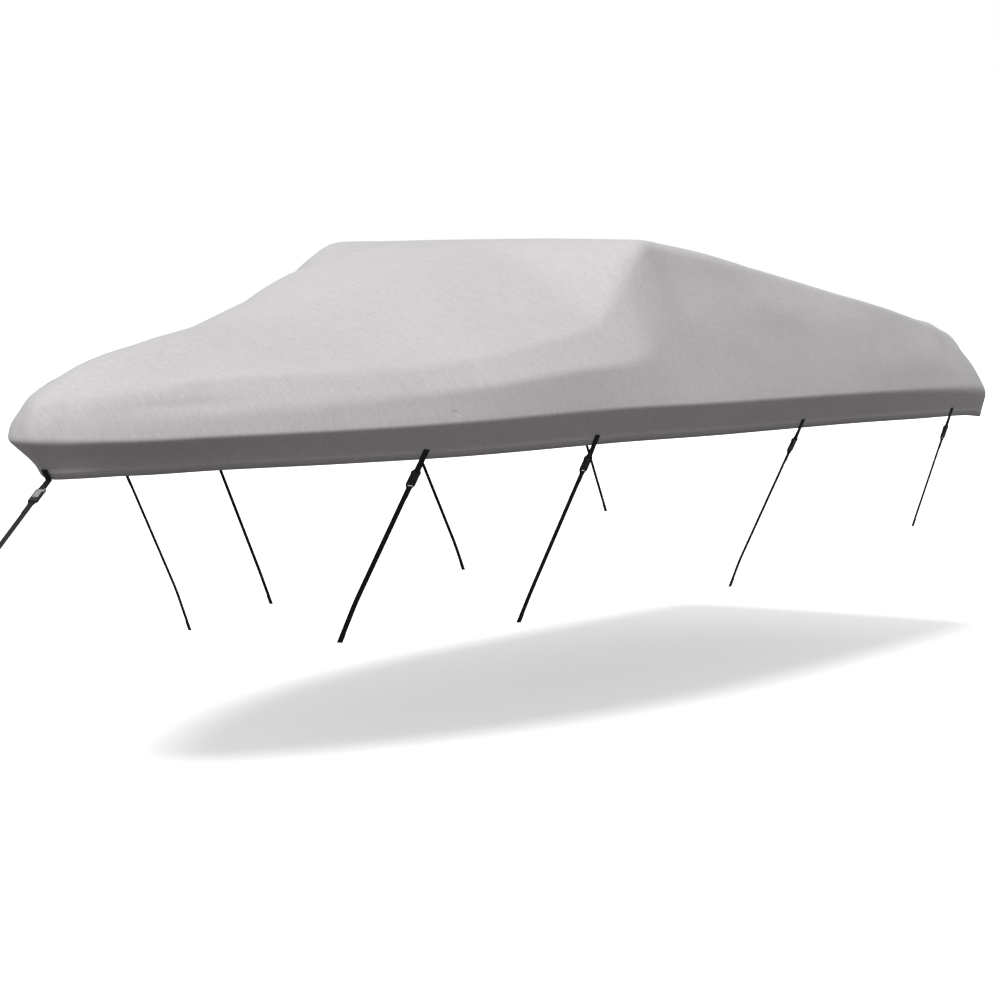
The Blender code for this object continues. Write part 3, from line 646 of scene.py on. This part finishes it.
def section_corners(station):
    """Hem, hollow of the skirt, rim, lower and upper shoulder, edge of the top and crown."""
    rim = Vector((station.x, station.y, RIM_LEVEL + station.rise))
    crown = Vector((station.crown_x, 0.0, RIM_LEVEL + station.crown_up))
    inward = Vector((crown.x - rim.x, crown.y - rim.y, 0.0)).normalized()

    def beside_rim(inset, lift):
        """A point inwards and up from the rim."""
        return rim + inward * inset + Vector((0, 0, lift))

    hem = beside_rim(station.tuck, -station.drop)
    hollow = beside_rim(station.tuck / 2 + station.hollow, -station.drop / 2)
    low = beside_rim(station.low_in, station.low_up)
    high = beside_rim(station.high_in, station.high_up)
    top = high.lerp(crown, 1 - station.full)
    top.z = crown.z - station.fall * (crown - top).to_2d().length
    return hem, hollow, rim, low, high, top, crown


def rounded_line(corners, reaches, arc_steps):
    """Points along straight pieces between corners, with each inner corner rounded."""
    points = [corners[0]]
    for i, (reach, steps) in enumerate(zip(reaches, arc_steps), start=1):
        corner = corners[i]
        back, ahead = corners[i - 1] - corner, corners[i + 1] - corner
        start = corner + back.normalized() * min(reach, LONGEST_ROUND * back.length)
        end = corner + ahead.normalized() * min(reach, LONGEST_ROUND * ahead.length)
        for step in range(steps + 1):
            t = step / steps
            points.append(start * (1 - t) ** 2 + corner * 2 * t * (1 - t) + end * t ** 2)
    points.append(corners[-1])
    return points


def section(station):
    """Outer face of the cloth at a station, from the hem to the crown."""
    reaches = (SKIRT_ROUND, station.edge, station.bend, station.soft, WIDE_ROUND)
    return rounded_line(section_corners(station), reaches, ARC_STEPS)


def spaced(points, distances):
    """Points on a line at given distances from its start."""
    found, walked, i = [], 0.0, 0
    for distance in distances:
        while i < len(points) - 2 and walked + (points[i + 1] - points[i]).length < distance:
            walked += (points[i + 1] - points[i]).length
            i += 1
        piece = points[i + 1] - points[i]
        found.append(points[i] + piece * min(1.0, (distance - walked) / max(piece.length, TINY)))
    return found


# ---------------------------------------------------------------------------------------------------
# Cloth
# ---------------------------------------------------------------------------------------------------

def fold_height(point):
    """How far the folds lift the cloth at a point."""
    lift = 0.0
    for fold in FOLDS:
        start, end = Vector(fold.start), Vector(fold.end)
        along = end - start
        share = (point - start).dot(along) / along.length_squared
        if 0 < share < 1:
            away = (point - start - along * share).length / fold.width
            lift += fold.height * math.exp(-away ** 2) * math.sin(math.pi * share)
    return lift


def cloth_row(loft, place):
    """Distances from the hem's edge, and the outer points there, for one row of cloth faces."""
    line = section(loft.at(place))
    walked = [0.0]
    for before, after in zip(line, line[1:]):
        walked.append(walked[-1] + (after - before).length)
    distances = [0.0, HEM_SEAM, HEM_WIDTH - HEM_STEP, HEM_WIDTH]
    for stretch in STRETCHES:
        start, span = distances[-1], walked[stretch.end] - distances[-1]
        distances += [start + span * k / stretch.faces for k in range(1, stretch.faces + 1)]
    return distances, spaced(line, distances)


def row_places(total):
    """Places of the rows of cloth faces, closer together in the fore part."""
    fine, coarse = round(FINE_REACH / FINE_LENGTH), round((total - FINE_REACH) / FACE_LENGTH)
    places = [FINE_REACH * i / fine for i in range(fine)]
    return places + [FINE_REACH + (total - FINE_REACH) * i / coarse for i in range(coarse + 1)]


def build_cloth(loft, finish):
    """The cover's cloth: both halves in one mesh, which share the points on the middle line."""
    mesh = bmesh.new()
    cut = mesh.loops.layers.uv.new("cut")
    found, hem = {}, set()
    rows = [(place,) + cloth_row(loft, place) for place in row_places(loft.places[-1])]

    def corner(point, is_hem):
        """The mesh's point at a place, made where there is none yet."""
        key = tuple(round(value, SAME_POINT_DIGITS) for value in point)
        if key not in found:
            found[key] = mesh.verts.new(point)
            if is_hem:
                hem.add(found[key])
        return found[key]

    for side in (1, -1):
        grid = []
        for _, _, points in rows:
            sided = [Vector((p.x, side * p.y, p.z)) for p in points]
            grid.append([corner(p, k < HEM_POINTS) for k, p in enumerate(sided)])
        for this, following, row, after in zip(rows, rows[1:], grid, grid[1:]):
            (at, heights, _), (after_at, after_heights, _) = this, following
            for k in range(len(row) - 1):
                loop = [(row[k], at, heights[k]), (row[k + 1], at, heights[k + 1]),
                        (after[k + 1], after_at, after_heights[k + 1]),
                        (after[k], after_at, after_heights[k])]
                unique = []
                for item in loop:
                    if item[0] not in [vert for vert, _, _ in unique]:
                        unique.append(item)
                unique = unique[::side]
                face = mesh.faces.new([vert for vert, _, _ in unique])
                for corner_loop, (_, u, v) in zip(face.loops, unique):
                    corner_loop[cut].uv = (side * u, v)
    mesh.normal_update()
    moves = [(vert, vert.normal * (fold_height(vert.co) + (HEM_STEP if vert in hem else 0.0)))
             for vert in mesh.verts]
    for vert, move in moves:
        vert.co += move
    cover = mesh_object("cover_cloth", mesh, finish)
    cover.data.shade_smooth()
    thick = cover.modifiers.new("cloth", "SOLIDIFY")
    thick.thickness = CLOTH
    thick.offset = -1.0
    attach(cover, "root")
    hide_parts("cover")
    return cover


# ---------------------------------------------------------------------------------------------------
# Webbing: paths in the tie's own plane, with y out of the cover and z up along the strap
# ---------------------------------------------------------------------------------------------------

def turned(y, z, degrees):
    """A point of a tie's plane, turned about its origin."""
    angle = math.radians(degrees)
    return Vector((0.0, y * math.cos(angle) - z * math.sin(angle), y * math.sin(angle) + z * math.cos(angle)))


def arc(centre, radius, start, end, steps):
    """Points round a centre. 0 degrees is towards +y and 90 towards +z."""
    points = []
    for step in range(steps + 1):
        angle = math.radians(start + (end - start) * step / steps)
        points.append(Vector((0.0, centre.y + radius * math.cos(angle), centre.z + radius * math.sin(angle))))
    return points


def tab_path(skirt_turn):
    """Two layers on the skirt, meeting round the socket's bar."""
    outer, inner = WEB * 1.5 + LAYER_GAP, WEB * 0.5
    bar = Vector((0.0, WEB + LAYER_GAP / 2, -BAR_DROP))
    path = [turned(outer, TAB_ON_SKIRT, skirt_turn), turned(outer, WEB, skirt_turn)]
    path += arc(bar, TURN, TURN_START, -TURN_END, TURN_STEPS)
    path += [turned(inner, -WEB, skirt_turn), turned(inner, TAB_ON_SKIRT, skirt_turn)]
    return path


def strap_path(tie):
    """From the free tail, up and round the plug's bar, down the run and past the bend to the sewn end."""
    bar = Vector((0.0, WEB + LAYER_GAP / 2, -BAR_DROP - PLUG_BAR))
    front = bar.y + WEB / 2 + LAYER_GAP / 2
    back = bar.y - WEB / 2 - LAYER_GAP / 2
    path = [Vector((0.0, front, bar.z - TAIL)), Vector((0.0, front, bar.z - BAR_CLEAR))]
    path += arc(bar, TURN, -TURN_START, TURN_END, TURN_STEPS)
    path += [Vector((0.0, back, bar.z - BAR_CLEAR))]
    bend = Vector((0.0, back, -tie.run))
    bend_turn = tie.lean - tie.end_lean
    ahead = turned(0.0, -1.0, bend_turn)
    path += [bend.lerp(Vector((0.0, back, 0.0)), BEND_REACH / tie.run), bend + ahead * BEND_REACH]
    foot = bend + ahead * tie.end_run
    lap = turned((WEB + LAYER_GAP) / 2, 0.0, bend_turn)
    path += arc(foot + lap, lap.length, 180 + bend_turn, 360 + bend_turn, FOLD_STEPS)
    path += [foot + lap * 2 - ahead * END_LAP]
    return path


def with_steps(path, step):
    """The same path, with its long straight runs divided."""
    finer = [path[0]]
    for before, after in zip(path, path[1:]):
        count = max(1, round((after - before).length / step))
        finer += [before.lerp(after, k / count) for k in range(1, count + 1)]
    return finer


def webbing_piece(name, path, placed, finish):
    """A flat band with rounded long edges along a path, placed in the world and closed at both ends."""
    mesh = bmesh.new()
    cut = mesh.loops.layers.uv.new("cut")
    half, thick = WEB_WIDTH / 2, WEB / 2
    outline = [(-half + WEB_ROUND, thick), (half - WEB_ROUND, thick), (half, thick - WEB_ROUND),
               (half, -thick + WEB_ROUND), (half - WEB_ROUND, -thick), (-half + WEB_ROUND, -thick),
               (-half, -thick + WEB_ROUND), (-half, thick - WEB_ROUND)]
    rings, walked = [], [0.0]
    for i, point in enumerate(path):
        before, after = path[max(i - 1, 0)], path[min(i + 1, len(path) - 1)]
        back, ahead = (point - before).normalized(), (after - point).normalized()
        along = (back + ahead).normalized()
        across = Vector((0.0, -along.z, along.y))
        rings.append([mesh.verts.new(placed @ (point + across * w + Vector((x, 0, 0)))) for x, w in outline])
        if i:
            walked.append(walked[-1] + (point - before).length)
    for i in range(len(rings) - 1):
        for k in range(len(outline)):
            after_k = (k + 1) % len(outline)
            face = mesh.faces.new((rings[i][k], rings[i][after_k], rings[i + 1][after_k], rings[i + 1][k]))
            sides = (outline[k][0], outline[after_k][0], outline[after_k][0], outline[k][0])
            runs = (walked[i], walked[i], walked[i + 1], walked[i + 1])
            for loop, run, side in zip(face.loops, runs, sides):
                loop[cut].uv = (run, side)
    mesh.faces.new(rings[0][::-1])
    mesh.faces.new(rings[-1])
    bmesh.ops.recalc_face_normals(mesh, faces=mesh.faces)
    piece = mesh_object(name, mesh, finish)
    piece.data.shade_smooth()
    piece.data.set_sharp_from_angle(angle=math.radians(SHARP_ANGLE))
    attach(piece, "root")
    return piece


# ---------------------------------------------------------------------------------------------------
# Ties
# ---------------------------------------------------------------------------------------------------

def hang_frame(loft, tie, place, side):
    """Frame of a tie, which starts on the skirt's outer face at the hem, and the skirt's angle to it."""
    hem, hollow = section_corners(loft.at(place))[:2]
    lean = math.radians(tie.lean)
    if place:
        ahead = section_corners(loft.at(place + NEARBY))[0] - hem
        along = Vector((0, math.sin(lean), math.cos(lean)))
    else:
        ahead = Vector((0, 1, 0))
        along = Vector((math.sin(lean), 0, math.cos(lean)))
    normal = (hollow - hem).cross(ahead).normalized()
    width = normal.cross(along).normalized()
    face = along.cross(width)
    skirt_turn = math.degrees(math.atan2(normal.dot(along), normal.dot(face)))
    seat = hem + normal * (GAP + HEM_STEP)
    for axis in (width, face, along, seat):
        axis.y *= side
    placed = Matrix((width * side, face, along)).transposed().to_4x4()
    placed.translation = seat
    return placed, skirt_turn


def make_tie(name, loft, tie, place, side, webbing, sewn_webbing):
    """The tab and the strap of one tie, in place of their solids."""
    placed, skirt_turn = hang_frame(loft, tie, place, side)
    path = with_steps(tab_path(skirt_turn), RUN_STEP)
    tab = webbing_piece("webbing_tab_" + name, path, placed, sewn_webbing)
    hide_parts("tab_" + name)
    path = with_steps(strap_path(tie), RUN_STEP)
    strap = webbing_piece("webbing_strap_" + name, path, placed, webbing)
    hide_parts("strap_" + name)


# ---------------------------------------------------------------------------------------------------
# Camera, lamp and floor
# ---------------------------------------------------------------------------------------------------

def make_camera():
    camera = new_object("camera", bpy.data.cameras.new("camera"))
    camera.location = CAMERA_PLACE
    camera.rotation_euler = (math.radians(90 - CAMERA_DIP), 0, math.radians(-CAMERA_HEADING))
    camera.data.lens = CAMERA_LENS
    camera.data.sensor_width = CAMERA_SENSOR
    camera.data.clip_end = CAMERA_REACH
    bpy.context.scene.camera = camera


def make_lamp():
    light = bpy.data.lights.new("key", "SUN")
    light.angle = math.radians(KEY_SOFTNESS)
    light.energy = KEY_STRENGTH
    holder = new_object("key", light)
    heading, height = math.radians(KEY_HEADING), math.radians(KEY_HEIGHT)
    towards = Vector((math.sin(heading) * math.cos(height), math.cos(heading) * math.cos(height),
                      math.sin(height)))
    holder.rotation_euler = towards.to_track_quat("Z", "Y").to_euler()


def seen_or_lighting(tree, seen, lighting):
    """The camera sees one shader, and the part is lit by another."""
    path = tree.nodes.new("ShaderNodeLightPath")
    mix = tree.nodes.new("ShaderNodeMixShader")
    tree.links.new(path.outputs["Is Camera Ray"], mix.inputs[0])
    tree.links.new(lighting, mix.inputs[1])
    tree.links.new(seen, mix.inputs[2])
    return mix.outputs[0]


def plain_shader(tree, kind, colour):
    """Output of a shader with one colour."""
    shader = tree.nodes.new(kind)
    shader.inputs["Color"].default_value = (*colour, 1)
    return shader.outputs[0]


def make_surroundings():
    """A white studio, and a floor that shows the part's shadow."""
    world = bpy.data.worlds.new("studio")
    bpy.context.scene.world = world
    world.use_nodes = True
    tree = world.node_tree
    sky = seen_or_lighting(tree, plain_shader(tree, "ShaderNodeBackground", WHITE),
                           plain_shader(tree, "ShaderNodeBackground", SKY_LIGHT))
    tree.links.new(sky, tree.nodes["World Output"].inputs["Surface"])
    made, tree, _ = new_material("pale_floor")
    lifted = tree.nodes.new("ShaderNodeAddShader")
    tree.links.new(plain_shader(tree, "ShaderNodeBsdfDiffuse", FLOOR_PAINT), lifted.inputs[0])
    tree.links.new(plain_shader(tree, "ShaderNodeEmission", FLOOR_GLOW), lifted.inputs[1])
    surface = seen_or_lighting(tree, lifted.outputs[0],
                               plain_shader(tree, "ShaderNodeBsdfDiffuse", FLOOR_BOUNCE))
    tree.links.new(surface, tree.nodes["Material Output"].inputs["Surface"])
    mesh = bmesh.new()
    bmesh.ops.create_grid(mesh, x_segments=1, y_segments=1, size=FLOOR_SIZE / 2)
    floor = mesh_object("studio_floor", mesh, made)
    floor.location.z = FLOOR_LEVEL
    bpy.context.scene.view_settings.view_transform = "Standard"


def main():
    make_camera()
    loft = Loft(STATIONS.values())
    weave, mottle, stitches = weave_group(), mottle_group(), stitch_group()
    webbing = webbing_material("black_webbing", weave, mottle, stitches, False)
    sewn_webbing = webbing_material("sewn_webbing", weave, mottle, stitches, True)
    plastic = buckle_material("moulded_plastic", mottle, BLACK_PLASTIC_TONES)
    # The bow socket's light grey plastic is a painted highlight for the glint on that buckle.
    glint_painted_plastic = buckle_material("glint_painted_plastic", mottle, GLINT_PAINTED_TONES)
    for number, tie in SIDE_TIES.items():
        place = loft.place_of_hem(tie.x)
        make_tie("port_" + number, loft, tie, place, -1, webbing, sewn_webbing)
        make_tie("star_" + number, loft, tie, place, 1, webbing, sewn_webbing)
    make_tie("bow", loft, BOW_TIE, 0.0, 1, webbing, sewn_webbing)
    cloth = build_cloth(loft, cloth_material(weave, mottle, stitches, threads_group(), crease_group()))
    for node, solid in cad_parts.items():
        if node.startswith(("socket_", "plug_")):
            solid.data.materials.clear()
            solid.data.materials.append(glint_painted_plastic if node == GLINT_PAINTED_BUCKLE else plastic)
    make_lamp()
    make_surroundings()


main()
